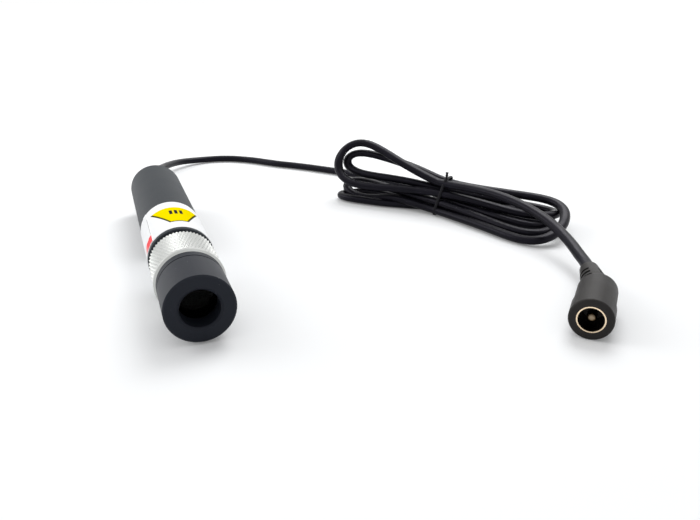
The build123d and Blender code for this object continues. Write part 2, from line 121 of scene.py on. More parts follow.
class Graph:
    """Adds and links the nodes of one shader tree."""

    def __init__(self, tree: bpy.types.NodeTree) -> None:
        """Holds the material's or the group's node tree."""
        self.tree = tree

    def node(self, kind: str, **settings: object) -> bpy.types.Node:
        """Adds a node.

        Args:
            kind: The node's type without its ShaderNode prefix.
            **settings: Its properties, by name.

        Returns:
            The new node.
        """
        made = self.tree.nodes.new("ShaderNode" + kind)
        for name, value in settings.items():
            setattr(made, name, value)
        return made

    def put(self, socket: Socket, value: Input) -> None:
        """Links a socket to another one, or sets its value.

        Args:
            socket: The input.
            value: An output, or a plain value.
        """
        if isinstance(value, Socket):
            self.tree.links.new(value, socket)
        else:
            socket.default_value = value

    def fill(self, node: bpy.types.Node, values: dict[str, Input]) -> None:
        """Puts a value or a link on each of a node's inputs that is named."""
        for name, value in values.items():
            self.put(node.inputs[name], value)

    def math(self, operation: str, first: Input, second: Input = 0.0, clamp: bool = False) -> Socket:
        """Adds a Math node.

        Args:
            operation: Its operation.
            first: A value or a socket.
            second: A value or a socket.
            clamp: Whether the result is kept from 0 to 1.

        Returns:
            Its output.
        """
        made = self.node("Math", operation=operation, use_clamp=clamp)
        for socket, value in zip(made.inputs, (first, second)):
            self.put(socket, value)
        return made.outputs[0]

    def span(self, value: Input, low: float, high: float, out_low: float = 0.0,
             out_high: float = 1.0) -> Socket:
        """Maps a value from one range to another, smoothly and clamped.

        Args:
            value: The socket.
            low: The value that gives out_low.
            high: The value that gives out_high.
            out_low: The result at low.
            out_high: The result at high.

        Returns:
            The mapped value.
        """
        made = self.node("MapRange", interpolation_type="SMOOTHSTEP")
        for socket, number in zip(made.inputs, (value, low, high, out_low, out_high)):
            self.put(socket, number)
        return made.outputs[0]

    def blend(self, factor: Input, first: Input, second: Triple) -> Socket:
        """Lays one colour over another.

        Args:
            factor: The second one's share.
            first: A colour or a socket.
            second: The colour that goes over it.

        Returns:
            The mixed colour.
        """
        made = self.node("Mix", data_type="RGBA")
        by_name = {socket.identifier: socket for socket in made.inputs}
        self.put(made.inputs["Factor"], factor)
        self.put(by_name["A_Color"], first)
        self.put(by_name["B_Color"], (*second, 1.0))
        return next(socket for socket in made.outputs if socket.identifier == "Result_Color")

    def place(self) -> Socket:
        """The shaded point in the frame, in metres."""
        return self.node("TexCoord").outputs["Object"]

    def noise(self, where: Socket, scale: Input, detail: float = 3.0, roughness: float = 0.55) -> Socket:
        """Adds a noise.

        Args:
            where: The point.
            scale: Its cells in a metre.
            detail: Its octaves.
            roughness: How strong the finer octaves are.

        Returns:
            Its value.
        """
        made = self.node("TexNoise")
        self.fill(made, {"Vector": where, "Scale": scale, "Detail": detail, "Roughness": roughness})
        return made.outputs["Fac"]


@dataclass
class Effects:
    """The shared effects, each a node group that is built once.

    Args:
        built: The groups that exist, by name.
        cloud_span: The noise values at which a cloud starts and is full.
        scratch_turn: How the scratches' noise is turned.
        scratch_stretch: How it is stretched into lines.
        scratch_cells: Its cells in a metre.
        scratch_span: The noise values at which a scratch starts and is full.
        patch_cells: Cells in a metre of the patches that have scratches.
        patch_span: The noise values at which a patch starts and is full.
        speck_cells: Cells in a metre, each with one speck.
        speck_span: A speck's radius where it ends and where it is full, in cells.
        kept_cells: Cells in a metre of the noise that says which specks stay.
        kept_span: The noise values at which a speck starts to stay and stays.
    """

    built: dict[str, bpy.types.NodeTree] = field(default_factory=dict)
    cloud_span: Pair = (0.35, 0.7)
    scratch_turn: Triple = (0.4, 0.7, 0.3)
    scratch_stretch: Triple = (1.0, 0.12, 0.5)
    scratch_cells: float = 1900.0
    scratch_span: Pair = (0.69, 0.76)
    patch_cells: float = 190.0
    patch_span: Pair = (0.55, 0.7)
    speck_cells: float = 850.0
    speck_span: Pair = (0.10, 0.05)
    kept_cells: float = 700.0
    kept_span: Pair = (0.6, 0.7)

    def open(self, name: str, inputs: dict[str, float],
             outputs: tuple[str, ...]) -> tuple[Graph, bpy.types.Node, bpy.types.Node]:
        """Starts a group.

        Args:
            name: The group's name.
            inputs: Its float inputs with their defaults.
            outputs: Its float outputs.

        Returns:
            The group's graph, its input node and its output node.
        """
        tree = bpy.data.node_groups.new(name, "ShaderNodeTree")
        for label, value in inputs.items():
            made = tree.interface.new_socket(label, in_out="INPUT", socket_type="NodeSocketFloat")
            made.default_value = value
        for label in outputs:
            tree.interface.new_socket(label, in_out="OUTPUT", socket_type="NodeSocketFloat")
        self.built[name] = tree
        graph = Graph(tree)
        return graph, tree.nodes.new("NodeGroupInput"), tree.nodes.new("NodeGroupOutput")

    def grain(self) -> bpy.types.NodeTree:
        """Blasted or moulded grain: a fine height and a slow, cloudy mask.

        Returns:
            The group, with inputs Fine and Cloud in cells a metre.
        """
        name = "Surface grain"
        if name not in self.built:
            inputs = {"Fine": 4000.0, "Cloud": 160.0}
            graph, given, result = self.open(name, inputs, ("Height", "Clouds"))
            place = graph.place()
            fine = graph.noise(place, given.outputs["Fine"], detail=2.0, roughness=0.6)
            cloud = graph.noise(place, given.outputs["Cloud"], detail=3.0, roughness=0.5)
            graph.fill(result, {"Height": fine, "Clouds": graph.span(cloud, *self.cloud_span)})
        return self.built[name]

    def handling(self) -> bpy.types.NodeTree:
        """Marks of handling: short scratches and specks of dust.

        Returns:
            The group, with inputs Scratches and Specks, which are amounts from 0 to 1.
        """
        name = "Handling marks"
        if name not in self.built:
            inputs = {"Scratches": 0.5, "Specks": 0.5}
            graph, given, result = self.open(name, inputs, ("Scratch", "Speck"))
            place = graph.place()
            turned = graph.node("Mapping")
            graph.fill(turned, {"Vector": place, "Rotation": self.scratch_turn,
                                "Scale": self.scratch_stretch})
            lines = graph.noise(turned.outputs[0], self.scratch_cells, detail=2.0, roughness=0.7)
            thin = graph.span(lines, *self.scratch_span)
            patch = graph.span(graph.noise(place, self.patch_cells, detail=2.0), *self.patch_span)
            scratch = graph.math("MULTIPLY", thin, patch)
            dots = graph.node("TexVoronoi")
            graph.fill(dots, {"Vector": place, "Scale": self.speck_cells})
            near = graph.span(dots.outputs["Distance"], *self.speck_span)
            kept = graph.span(graph.noise(place, self.kept_cells, detail=1.0), *self.kept_span)
            speck = graph.math("MULTIPLY", near, kept)
            for label, mask, amount in (("Scratch", scratch, "Scratches"), ("Speck", speck, "Specks")):
                graph.put(result.inputs[label], graph.math("MULTIPLY", mask, given.outputs[amount]))
        return self.built[name]


EFFECTS = Effects()


@dataclass(frozen=True)
class Masks:
    """Where a finish is cloudy, scratched and dusty, from 0 to 1.

    Args:
        clouds: The slow clouds.
        scratch: The scratches.
        speck: The specks of dust.
    """

    clouds: Socket
    scratch: Socket
    speck: Socket


@dataclass(frozen=True)
class Finish:
    """One surface finish.

    Args:
        name: The material's name.
        colour: Base colour, linear.
        rough: Roughness.
        metal: Metallic: 1 for polished metal, and less where it is blasted matt.
        fine: The grain's cells in a metre.
        depth: The grain's bump, in metres.
        cloud: How much the slow clouds change the colour.
        wear: The colour that shows where the finish is scratched.
        scratches: Amount of scratches.
        specks: Amount of dust specks.
        specular: Specular level.
        sheen: The tint of its reflections.
    """

    name: str
    colour: Triple
    rough: float = 0.5
    metal: float = 0.0
    fine: float = 4000.0
    depth: float = 0.00001
    cloud: float = 0.12
    wear: Triple = (0.5, 0.5, 0.5)
    scratches: float = 0.3
    specks: float = 0.2
    specular: float = 0.5
    sheen: Triple = (1.0, 1.0, 1.0)

    def base(self, graph: Graph, masks: Masks) -> Socket:
        """The base colour with its clouds and marks.

        Args:
            graph: The material's graph.
            masks: The finish's masks.

        Returns:
            The colour.
        """
        dark = tuple(c * (1 - self.cloud) for c in self.colour) + (1.0,)
        light = tuple(min(1.0, c * (1 + self.cloud)) for c in self.colour)
        plain = graph.blend(masks.clouds, dark, light)
        worn = graph.blend(masks.scratch, plain, self.wear)
        return graph.blend(masks.speck, worn, DUST)

    def build(self) -> bpy.types.Material:
        """Makes the material.

        Returns:
            The material.
        """
        material = bpy.data.materials.new(self.name)
        material.use_nodes = True
        graph = Graph(material.node_tree)
        shader = material.node_tree.nodes["Principled BSDF"]
        grain = graph.node("Group", node_tree=EFFECTS.grain())
        graph.fill(grain, {"Fine": self.fine})
        marks = graph.node("Group", node_tree=EFFECTS.handling())
        graph.fill(marks, {"Scratches": self.scratches, "Specks": self.specks})
        masks = Masks(grain.outputs["Clouds"], marks.outputs["Scratch"], marks.outputs["Speck"])
        uneven = graph.span(masks.clouds, 0.0, 1.0, self.rough * (1 - self.cloud / 2),
                            min(1.0, self.rough * (1 + self.cloud / 2)))
        bump = graph.node("Bump")
        graph.fill(bump, {"Distance": self.depth, "Height": grain.outputs["Height"]})
        graph.fill(shader, {"Base Color": self.base(graph, masks), "Metallic": self.metal,
                            "Roughness": graph.math("ADD", uneven, masks.speck, clamp=True),
                            "Specular IOR Level": self.specular, "Specular Tint": (*self.sheen, 1.0),
                            "Normal": bump.outputs["Normal"]})
        self.extra(shader)
        return material

    def extra(self, shader: bpy.types.Node) -> None:
        """Sets what only some finishes have."""


@dataclass(frozen=True)
class Glass(Finish):
    """Glass with a tint, dulled by its coating.

    Args:
        depth: The grain's bump: glass is smooth.
        cloud: How much clouds change its colour: it is even.
        scratches: Amount of scratches: it is clean.
        specks: Amount of dust specks.
        index: Its refractive index, low where a coating takes its reflections away.
    """

    depth: float = 0.0
    cloud: float = 0.0
    scratches: float = 0.0
    specks: float = 0.0
    index: float = 1.5

    def extra(self, shader: bpy.types.Node) -> None:
        """Makes the shader transmit light."""
        shader.inputs["Transmission Weight"].default_value = 1.0
        shader.inputs["IOR"].default_value = self.index


@dataclass(frozen=True)
class LabelFilm(Finish):
    """White film with a yellow tab that has plain bars, a red block and the wrap's seam.

    Args:
        axis_height: Height of the barrel's axis.
        radius: The film's outer radius.
        front: Where the barrel's front face is, along Y.
        tab_turn: Angle of the yellow tab's middle from the top, in degrees towards +X.
        tab_back: Station of the tab's rear edge, from the front face.
        tab_half: Half the tab's width at its rear.
        tab_length: The tab's length.
        tab_taper: How much its half width falls with its length.
        outline: Width of the tab's dark edge.
        bars: The plain bars on the tab: their offsets across.
        bar_station: Station of the bars' middle.
        bar_size: The bars' half width and half length.
        red_turns: The red block's angles from the top, in degrees: where it starts to fade in, is
            full, and ends.
        red_end: The width of its end's edge, in radians.
        red_stations: The red block's stations.
        seam_turn: The wrap's seam, in degrees from the top.
        seam_half: Half the seam's width and half the width of its edge, in radians.
        seam_stations: The seam's stations.
        soft: Half the width of a printed edge.
        yellow: The tab's colour.
        brown: The colour of the tab's edge.
        red: The red block's colour.
        grey: The seam's colour.
        black: The bars' colour.
    """

    axis_height: float = 0.0081
    radius: float = 0.0081
    front: float = -0.05
    tab_turn: float = 6.0
    tab_back: float = 0.0472
    tab_half: float = 0.0067
    tab_length: float = 0.0122
    tab_taper: float = 0.36
    outline: float = 0.00055
    bars: tuple[float, ...] = (-0.0013, 0.0, 0.0013)
    bar_station: float = 0.0430
    bar_size: Pair = (0.0004, 0.0016)
    red_turns: Triple = (-84.0, -66.0, -50.0)
    red_end: float = 0.01
    red_stations: Pair = (0.0309, 0.0352)
    seam_turn: float = -51.0
    seam_half: Pair = (0.008, 0.006)
    seam_stations: Pair = (0.0358, 0.0480)
    soft: float = 0.00006
    yellow: Triple = (0.86, 0.70, 0.0)
    brown: Triple = (0.065, 0.062, 0.012)
    red: Triple = (0.95, 0.13, 0.14)
    grey: Triple = (0.30, 0.30, 0.31)
    black: Triple = (0.03, 0.03, 0.032)

    def within(self, graph: Graph, value: Input, low: float, high: float, soft: float) -> Socket:
        """A mask that is 1 between two values.

        Args:
            graph: The material's graph.
            value: The socket.
            low: The lower value.
            high: The higher value.
            soft: Half the width of its edge.

        Returns:
            The mask.
        """
        rises = graph.span(value, low - soft, low + soft)
        falls = graph.span(value, high - soft, high + soft, 1.0, 0.0)
        return graph.math("MULTIPLY", rises, falls)

    def tab(self, graph: Graph, across: Socket, station: Socket, inset: float) -> Socket:
        """The tab's mask: it narrows towards the front.

        Args:
            graph: The material's graph.
            across: The distance from the tab's middle, round the barrel.
            station: The distance from the barrel's front face.
            inset: How far inside the tab's sides and front the mask starts.

        Returns:
            The mask.
        """
        forward = graph.math("SUBTRACT", self.tab_back, station)
        half = graph.math("SUBTRACT", self.tab_half, graph.math("MULTIPLY", forward, self.tab_taper))
        inside = graph.math("MINIMUM", graph.math("SUBTRACT", half, graph.math("ABSOLUTE", across)),
                            graph.math("SUBTRACT", self.tab_length, forward))
        behind = graph.span(forward, -self.soft, self.soft)
        return graph.math("MULTIPLY", graph.span(inside, inset - self.soft, inset + self.soft), behind)

    def block(self, graph: Graph, turn: Socket, station: Socket) -> Socket:
        """The red block's mask.

        Args:
            graph: The material's graph.
            turn: The angle from the top.
            station: The distance from the barrel's front face.

        Returns:
            The mask.
        """
        fade, full, end = (math.radians(angle) for angle in self.red_turns)
        falls = graph.span(turn, end - self.red_end, end, 1.0, 0.0)
        round_barrel = graph.math("MULTIPLY", graph.span(turn, fade, full), falls)
        along = self.within(graph, station, *self.red_stations, self.soft)
        return graph.math("MULTIPLY", round_barrel, along)

    def seam(self, graph: Graph, turn: Socket, station: Socket) -> Socket:
        """The mask of the wrap's seam.

        Args:
            graph: The material's graph.
            turn: The angle from the top.
            station: The distance from the barrel's front face.

        Returns:
            The mask.
        """
        middle, (half, soft) = math.radians(self.seam_turn), self.seam_half
        line = self.within(graph, turn, middle - half, middle + half, soft)
        return graph.math("MULTIPLY", line, self.within(graph, station, *self.seam_stations, self.soft))

    def base(self, graph: Graph, masks: Masks) -> Socket:
        """The film's print over its white.

        Args:
            graph: The material's graph.
            masks: The finish's masks.

        Returns:
            The colour.
        """
        axes = graph.node("SeparateXYZ")
        graph.put(axes.inputs[0], graph.place())
        upward = graph.math("SUBTRACT", axes.outputs["Z"], self.axis_height)
        turn = graph.math("ARCTAN2", axes.outputs["X"], upward)
        station = graph.math("SUBTRACT", axes.outputs["Y"], self.front)
        from_tab = graph.math("SUBTRACT", turn, math.radians(self.tab_turn))
        across = graph.math("MULTIPLY", from_tab, self.radius)
        inks = [(self.seam(graph, turn, station), self.grey),
                (self.block(graph, turn, station), self.red),
                (self.tab(graph, across, station, 0.0), self.brown),
                (self.tab(graph, across, station, self.outline), self.yellow)]
        half_width, half_length = self.bar_size
        long = self.within(graph, station, self.bar_station - half_length,
                           self.bar_station + half_length, self.soft)
        for side in self.bars:
            wide = self.within(graph, across, side - half_width, side + half_width, self.soft)
            inks.append((graph.math("MULTIPLY", wide, long), self.black))
        colour = super().base(graph, masks)
        for mask, ink in inks:
            colour = graph.blend(mask, colour, ink)
        return colour


@dataclass(frozen=True)
class ShadedPlating(Finish):
    """Gold plating, bright at the socket's mouth, with painted shade that darkens it deeper inside.

    Args:
        mouth: The middle of the socket's mouth.
        inward: The socket's direction, from its mouth to the lead.
        shade_depths: How deep the plating stays bright, and where the painted shade is full.
        shade_colour: The colour of the painted shade where it is full.
    """

    mouth: Triple = (0.0767, -0.0772, 0.00475)
    inward: Triple = (math.sqrt(0.5), math.sqrt(0.5), 0.0)
    shade_depths: Pair = (0.0004, 0.0013)
    shade_colour: Triple = (0.02, 0.014, 0.008)

    def base(self, graph: Graph, masks: Masks) -> Socket:
        """The gold, with painted shade that darkens it with its depth in the socket.

        Args:
            graph: The material's graph.
            masks: The finish's masks.

        Returns:
            The colour.
        """
        from_mouth = graph.node("VectorMath", operation="SUBTRACT")
        graph.put(from_mouth.inputs[0], graph.place())
        from_mouth.inputs[1].default_value = self.mouth
        depth = graph.node("VectorMath", operation="DOT_PRODUCT")
        graph.put(depth.inputs[0], from_mouth.outputs[0])
        depth.inputs[1].default_value = self.inward
        # Painted shade: the gold darkens with its depth inside the socket.
        share = graph.span(depth.outputs["Value"], *self.shade_depths)
        return graph.blend(share, super().base(graph, masks), self.shade_colour)


FINISHES: dict[Slot, Finish] = {
    Slot.HOUSING: Finish(
        "Blasted black anodising", (0.025, 0.030, 0.036), 0.50, fine=7000.0, depth=0.000008,
        cloud=0.03, wear=(0.3, 0.3, 0.31), scratches=0.2, specks=0.15, specular=0.13),
    Slot.HEAD: Finish(
        "Head anodising", (0.016, 0.019, 0.027), 0.44, fine=7000.0, depth=0.000005,
        cloud=0.03, wear=(0.32, 0.32, 0.33), scratches=0.6, specks=0.15, specular=0.13),
    Slot.RING: Finish(
        "Blasted aluminium", (0.53, 0.54, 0.525), 0.38, 0.7, fine=9000.0, depth=0.000004,
        cloud=0.05, wear=(0.6, 0.6, 0.6), scratches=0.2, specks=0.1),
    Slot.INNER: Finish("Inner blacking", (0.004, 0.004, 0.005), 0.7, cloud=0.0, specular=0.1),
    Slot.WINDOW: Glass("Tinted window", (0.03, 0.045, 0.045), 0.05, index=1.1),
    Slot.LENS: Glass("Coated lens", (0.93, 0.95, 1.0), 0.02, specular=0.15),
    Slot.WASHER: Finish("Slip washer plastic", (0.8, 0.8, 0.78), 0.4),
    Slot.SPRING: Finish("Spring steel", (0.55, 0.55, 0.56), 0.3, 1.0),
    Slot.HOLDER: Finish("Turned brass", (0.80, 0.62, 0.30), 0.3, 1.0),
    Slot.CAN: Finish("Gilt can", (0.95, 0.76, 0.38), 0.22, 1.0),
    Slot.BOARD: Finish("Solder mask", (0.02, 0.16, 0.06), 0.35),
    Slot.CHIP: Finish("Chip epoxy", (0.02, 0.02, 0.022), 0.55),
    Slot.CERAMIC: Finish("Ceramic", (0.46, 0.34, 0.22), 0.5),
    Slot.TRIMMER: Finish("Trimmer body", (0.05, 0.16, 0.45), 0.45),
    Slot.CAP: Finish("Rear cap", (0.02, 0.02, 0.021), 0.55, specks=0.3),
    Slot.GROMMET: Finish("Grommet rubber", (0.016, 0.016, 0.017), 0.62, specks=0.3),
    Slot.CRIMP: Finish("Crimp steel", (0.6, 0.6, 0.6), 0.35, 1.0),
    Slot.LABEL: LabelFilm(
        "Label film", (0.90, 0.91, 0.92), 0.45, fine=3000.0, depth=0.000002,
        cloud=0.02, wear=(0.8, 0.8, 0.8), scratches=0.1, specks=0.1, specular=0.0),
    Slot.CORD: Finish(
        "Cord jacket", (0.0050, 0.0047, 0.0074), 0.34, fine=2600.0, depth=0.00006, cloud=0.3,
        wear=(0.05, 0.045, 0.06), scratches=0.5, specks=0.3, specular=0.12, sheen=(0.86, 0.82, 1.0)),
    Slot.TIE: Finish(
        "Tie coating", (0.006, 0.0055, 0.008), 0.4, fine=3000.0, depth=0.00002, specular=0.12),
    Slot.OVERMOULD: Finish(
        "Socket moulding", (0.012, 0.0103, 0.0094), 0.5, fine=5200.0, depth=0.00003, cloud=0.1,
        wear=(0.2, 0.19, 0.18), specks=0.4, specular=0.24),
    # The contacts' plating carries painted shade inside the socket.
    Slot.CONTACT: ShadedPlating("Gold contact", (0.93, 0.74, 0.52), 0.22, 1.0, cloud=0.04),
    Slot.CORE_BLACK: Finish("Socket core", (0.015, 0.015, 0.016), 0.5),
    Slot.CORE_RED: Finish("Red core", (0.5, 0.02, 0.02), 0.45),
    Slot.CORE_DARK: Finish("Black core", (0.02, 0.02, 0.02), 0.45),
}


def new_object(name: str, vertices: np.ndarray, faces: Faces) -> bpy.types.Object:
    """Makes a smooth-shaded mesh object at the origin.

    Args:
        name: The piece's name.
        vertices: Its points, in metres.
        faces: Its faces, by the points' indices.

    Returns:
        The object, linked to the scene.
    """
    mesh = bpy.data.meshes.new(name)
    mesh.from_pydata([tuple(v) for v in vertices], [], faces)
    mesh.update()
    mesh.polygons.foreach_set("use_smooth", [True] * len(mesh.polygons))
    piece = bpy.data.objects.new(name, mesh)
    bpy.context.scene.collection.objects.link(piece)
    return piece


def swept(path: np.ndarray, wide: np.ndarray, section: np.ndarray) -> tuple[np.ndarray, Faces]:
    """Sweeps a closed section along a path.

    Args:
        path: The path's points.
        wide: At each point, the direction of the section's first axis.
        section: The section's points, along and across that axis.

    Returns:
        The points and the faces, with both ends closed.
    """
    tangent = np.gradient(path, axis=0)
    tangent /= np.linalg.norm(tangent, axis=1, keepdims=True)
    first = wide - (wide * tangent).sum(1, keepdims=True) * tangent
    first /= np.linalg.norm(first, axis=1, keepdims=True)
    second = np.cross(tangent, first)
    points = (path[:, None] + section[None, :, :1] * first[:, None]
              + section[None, :, 1:] * second[:, None])
    count, around = len(path), len(section)
    faces = []
    for ring in range(count - 1):
        for k in range(around):
            a, b = ring * around + k, ring * around + (k + 1) % around
            faces.append((a, b, b + around, a + around))
    faces.append(tuple(range(around))[::-1])
    faces.append(tuple(range((count - 1) * around, count * around)))
    return points.reshape(-1, 3), faces


def oval(half_width: float, half_height: float, power: float, count: int) -> np.ndarray:
    """A superellipse.

    Args:
        half_width: Half of its width.
        half_height: Half of its height.
        power: ELLIPSE, or more for a squarer one.
        count: How many points it has.

    Returns:
        Its points.
    """
    turn = np.linspace(0, 2 * np.pi, count, endpoint=False)
    c, s = np.cos(turn), np.sin(turn)
    return np.stack([half_width * np.sign(c) * np.abs(c) ** (2 / power),
                     half_height * np.sign(s) * np.abs(s) ** (2 / power)], 1)


def resampled(points: np.ndarray, step: float) -> np.ndarray:
    """Even points along a line.

    Args:
        points: The line's points.
        step: About how far apart the new ones are.

    Returns:
        The new points.
    """
    arc = np.concatenate([[0], np.cumsum(np.linalg.norm(np.diff(points, axis=0), axis=1))])
    places = np.linspace(0, arc[-1], int(round(arc[-1] / step)) + 1)
    return np.stack([np.interp(places, arc, points[:, k]) for k in range(3)], 1)


@dataclass(frozen=True)
class Loop:
    """One loop of the hank, from the tie out to one end and back, in millimetres.

    Args:
        end: The end that it reaches.
        reach: How far it goes from the tie.
        out: Where its outgoing leg meets the round end: across and height.
        back: Where its returning leg starts there: across and height.
        bows: How the two legs run: 1 is straight, and less is bowed outwards.
        point: How long the round end is for its half width.
    """

    end: End
    reach: float
    out: Pair
    back: Pair
    bows: Pair = (1.0, 1.0)
    point: float = 1.0


@dataclass
class Lead:
    """The two-core lead: its run to the hank, the hank's turns and the tail to the socket.

    Args:
        lead_mm: The run's points from the stripped end in the housing.
        tail_mm: The tail's points, to the socket's strain relief.
        waist_mm: Where the hank is tied.
        along: The hank's direction.
        side: The direction across it, away from the module's front.
        slots_mm: Where each pass crosses the tie: across and height.
        loops: The loops between the passes.
        leg_shares: Where a loop's two legs have points, in shares of their length.
        round_points: How many points its round end has.
        turn_step_mm: How far apart the hank's points are before they settle.
        floor_mm: The lowest height of the cord's middle.
        spline_order: The order of the cord's spline.
        spline_steps: How many points the spline has for each of its own.
        size: The cord's width and thickness.
        squareness: The power of its section's superellipse.
        facets: How many points its section has.
        ring_step: How far apart its sections are.
        twist_spread: Over what length its width turns.
        length: The cord's given length; it is not used.
        path: Its line once it is built, in metres.
    """

    lead_mm: tuple[Triple, ...] = (
        (0, 36.8, 8.1), (0, 56, 8.1), (0.6, 66.5, 7.6), (2.2, 77.0, 6.5), (4.8, 87.0, 5.3),
        (8.6, 97.0, 4.1), (14.4, 106.6, 2.8), (23.8, 113.0, 1.45), (35.0, 112.4, 1.45),
        (45.0, 105.2, 1.45), (53.2, 94.6, 1.45), (62.7, 85.6, 1.45), (71.4, 75.2, 1.45),
        (80.0, 64.0, 1.45), (87.4, 51.0, 1.45), (92.6, 38.0, 2.4), (92.6, 28.5, 4.2),
    )
    tail_mm: tuple[Triple, ...] = (
        (94.8, 0.8, 10.8), (98.4, -9.0, 10.8), (101.0, -19.0, 9.9), (101.9, -30.0, 8.2),
        (100.4, -40.2, 6.3), (98.2, -46.8, 5.3), (96.67, -51.83, 4.75), (94.55, -55.22, 4.75),
    )
    waist_mm: Triple = (89.0, 12.5, 0.0)
    along: Triple = (0.638, -0.770, 0.0)
    side: Triple = (0.770, 0.638, 0.0)
    slots_mm: tuple[Pair, ...] = (
        (0.9, 5.0), (2.8, 2.0), (-0.2, 2.0), (-2.6, 4.4), (-3.2, 2.0), (2.2, 10.2), (1.2, 7.8),
        (-1.9, 7.5), (-0.8, 10.4),
    )
    loops: tuple[Loop, ...] = (
        Loop(End.RIGHT, 36.4, (-6.5, 2.4), (3.0, 2.0)),
        Loop(End.LEFT, 38.4, (2.3, 2.7), (-5.4, 1.5)),
        Loop(End.RIGHT, 39.2, (4.0, 4.0), (-12.0, 1.6), point=0.8),
        Loop(End.LEFT, 38.2, (4.3, 6.3), (-1.4, 1.6), (1.0, 0.9), 0.9),
        Loop(End.RIGHT, 42.0, (-18.0, 1.5), (7.4, 7.6), (1.0, 0.55), 0.5),
        Loop(End.LEFT, 38.6, (4.4, 16.6), (0.3, 9.9), (0.55, 0.45)),
        Loop(End.RIGHT, 38.2, (9.5, 3.6), (-3.0, 4.4), point=0.7),
        Loop(End.LEFT, 39.6, (-5.2, 7.0), (3.2, 20.8), (1.0, 1.1), 1.1),
    )
    leg_shares: tuple[float, ...] = (0.25, 0.5, 0.75)
    round_points: int = 7
    turn_step_mm: float = 3.0
    floor_mm: float = 1.45
    spline_order: int = 3
    spline_steps: int = 8
    size: Pair = (0.0031, 0.0025)
    squareness: float = 2.3
    facets: int = 20
    ring_step: float = 0.0009
    twist_spread: float = 0.006
    length: float = 0.956
    path: np.ndarray = field(default_factory=lambda: np.zeros((0, 3)))

    def across(self, along: float, side: float, height: float) -> np.ndarray:
        """A point by its distance from the tied waist along and across the hank, and its height."""
        return (np.array(self.waist_mm) + along * np.array(self.along)
                + side * np.array(self.side) + np.array((0, 0, height)))

    def turn(self, loop: Loop, start: Pair, stop: Pair) -> list[np.ndarray]:
        """The points of one loop between two passes.

        Args:
            loop: The loop.
            start: Where it leaves the tie, across and height.
            stop: Where it comes back.

        Returns:
            The points, in millimetres.
        """
        out, back = np.array(loop.out), np.array(loop.back)
        middle, half = (out + back) / 2, (back - out) / 2
        bulge = np.linalg.norm(half) * loop.point
        neck = loop.reach - bulge
        places = [(neck * u, start + (out - start) * u ** loop.bows[0]) for u in self.leg_shares]
        for angle in np.linspace(0, math.pi, self.round_points):
            places.append((neck + bulge * math.sin(angle), middle - half * math.cos(angle)))
        places += [(neck * u, stop + (back - stop) * u ** loop.bows[1])
                   for u in reversed(self.leg_shares)]
        return [self.across(loop.end.value * reach, side, max(height, self.floor_mm))
                for reach, (side, height) in places]

    def turns(self) -> np.ndarray:
        """Joins the loops, from the first pass of the tie to the last.

        Returns:
            The points, in millimetres.
        """
        points = [self.across(0, *self.slots_mm[0])]
        for loop, start, stop in zip(self.loops, self.slots_mm, self.slots_mm[1:]):
            points += self.turn(loop, start, stop)
            points.append(self.across(0, *stop))
        return np.array(points)

    def settled(self, points: np.ndarray, gap: float = 2.7, skip: float = 9.0, rounds: int = 150,
                stiffness: float = 0.3, pull: float = 0.02) -> np.ndarray:
        """Moves turns that lie in each other apart, and keeps them above the floor.

        Args:
            points: The turns' points, in millimetres.
            gap: How far apart strands lie, in millimetres.
            skip: How far along the cord points count as neighbours, in millimetres.
            rounds: How many times they are moved.
            stiffness: How much of a change of bend is evened out each time.
            pull: How much of its way home a point goes back each time.

        Returns:
            The moved points.
        """
        home, placed = points, points.copy()
        for _ in range(rounds):
            arc = np.concatenate([[0], np.cumsum(np.linalg.norm(np.diff(placed, axis=0), axis=1))])
            apart = placed[:, None] - placed[None]
            distance = np.linalg.norm(apart, axis=2) + TINY
            close = np.where(np.abs(arc[:, None] - arc[None]) > skip, np.maximum(0, gap - distance), 0)
            push = (apart / distance[:, :, None] * (close * 0.5)[:, :, None]).sum(1)
            push /= np.maximum(1, (close > 0).sum(1))[:, None]
            placed[1:-1] += push[1:-1]
            bend = np.zeros_like(placed)
            bend[1:-1] = (placed[:-2] + placed[2:]) / 2 - placed[1:-1]
            placed[2:-2] -= stiffness * ((bend[1:-3] + bend[3:-1]) / 2 - bend[2:-2])
            placed[1:-1] += pull * (home - placed)[1:-1]
            placed[:, 2] = np.maximum(placed[:, 2], self.floor_mm)
        return placed

    def spline(self) -> np.ndarray:
        """Lays the cord's line as one NURBS spline and reads its points back.

        Returns:
            Points along the spline, in metres.
        """
        turns = self.settled(resampled(self.turns(), self.turn_step_mm))
        points = np.vstack([self.lead_mm, turns, self.tail_mm]) * MM
        curve = bpy.data.curves.new("lead_line", "CURVE")
        curve.dimensions = "3D"
        curve.resolution_u = self.spline_steps
        line = curve.splines.new("NURBS")
        line.points.add(len(points) - 1)
        line.points.foreach_set("co", np.hstack([points, np.ones((len(points), 1))]).ravel())
        line.order_u = self.spline_order
        line.use_endpoint_u = True
        holder = bpy.data.objects.new("lead_line", curve)
        bpy.context.scene.collection.objects.link(holder)
        bpy.context.view_layer.update()
        evaluated = holder.evaluated_get(bpy.context.evaluated_depsgraph_get())
        mesh = bpy.data.meshes.new_from_object(evaluated)
        found = np.zeros(len(mesh.vertices) * 3)
        mesh.vertices.foreach_get("co", found)
        bpy.data.objects.remove(holder)
        bpy.data.curves.remove(curve)
        bpy.data.meshes.remove(mesh)
        return resampled(found.reshape(-1, 3), self.ring_step)

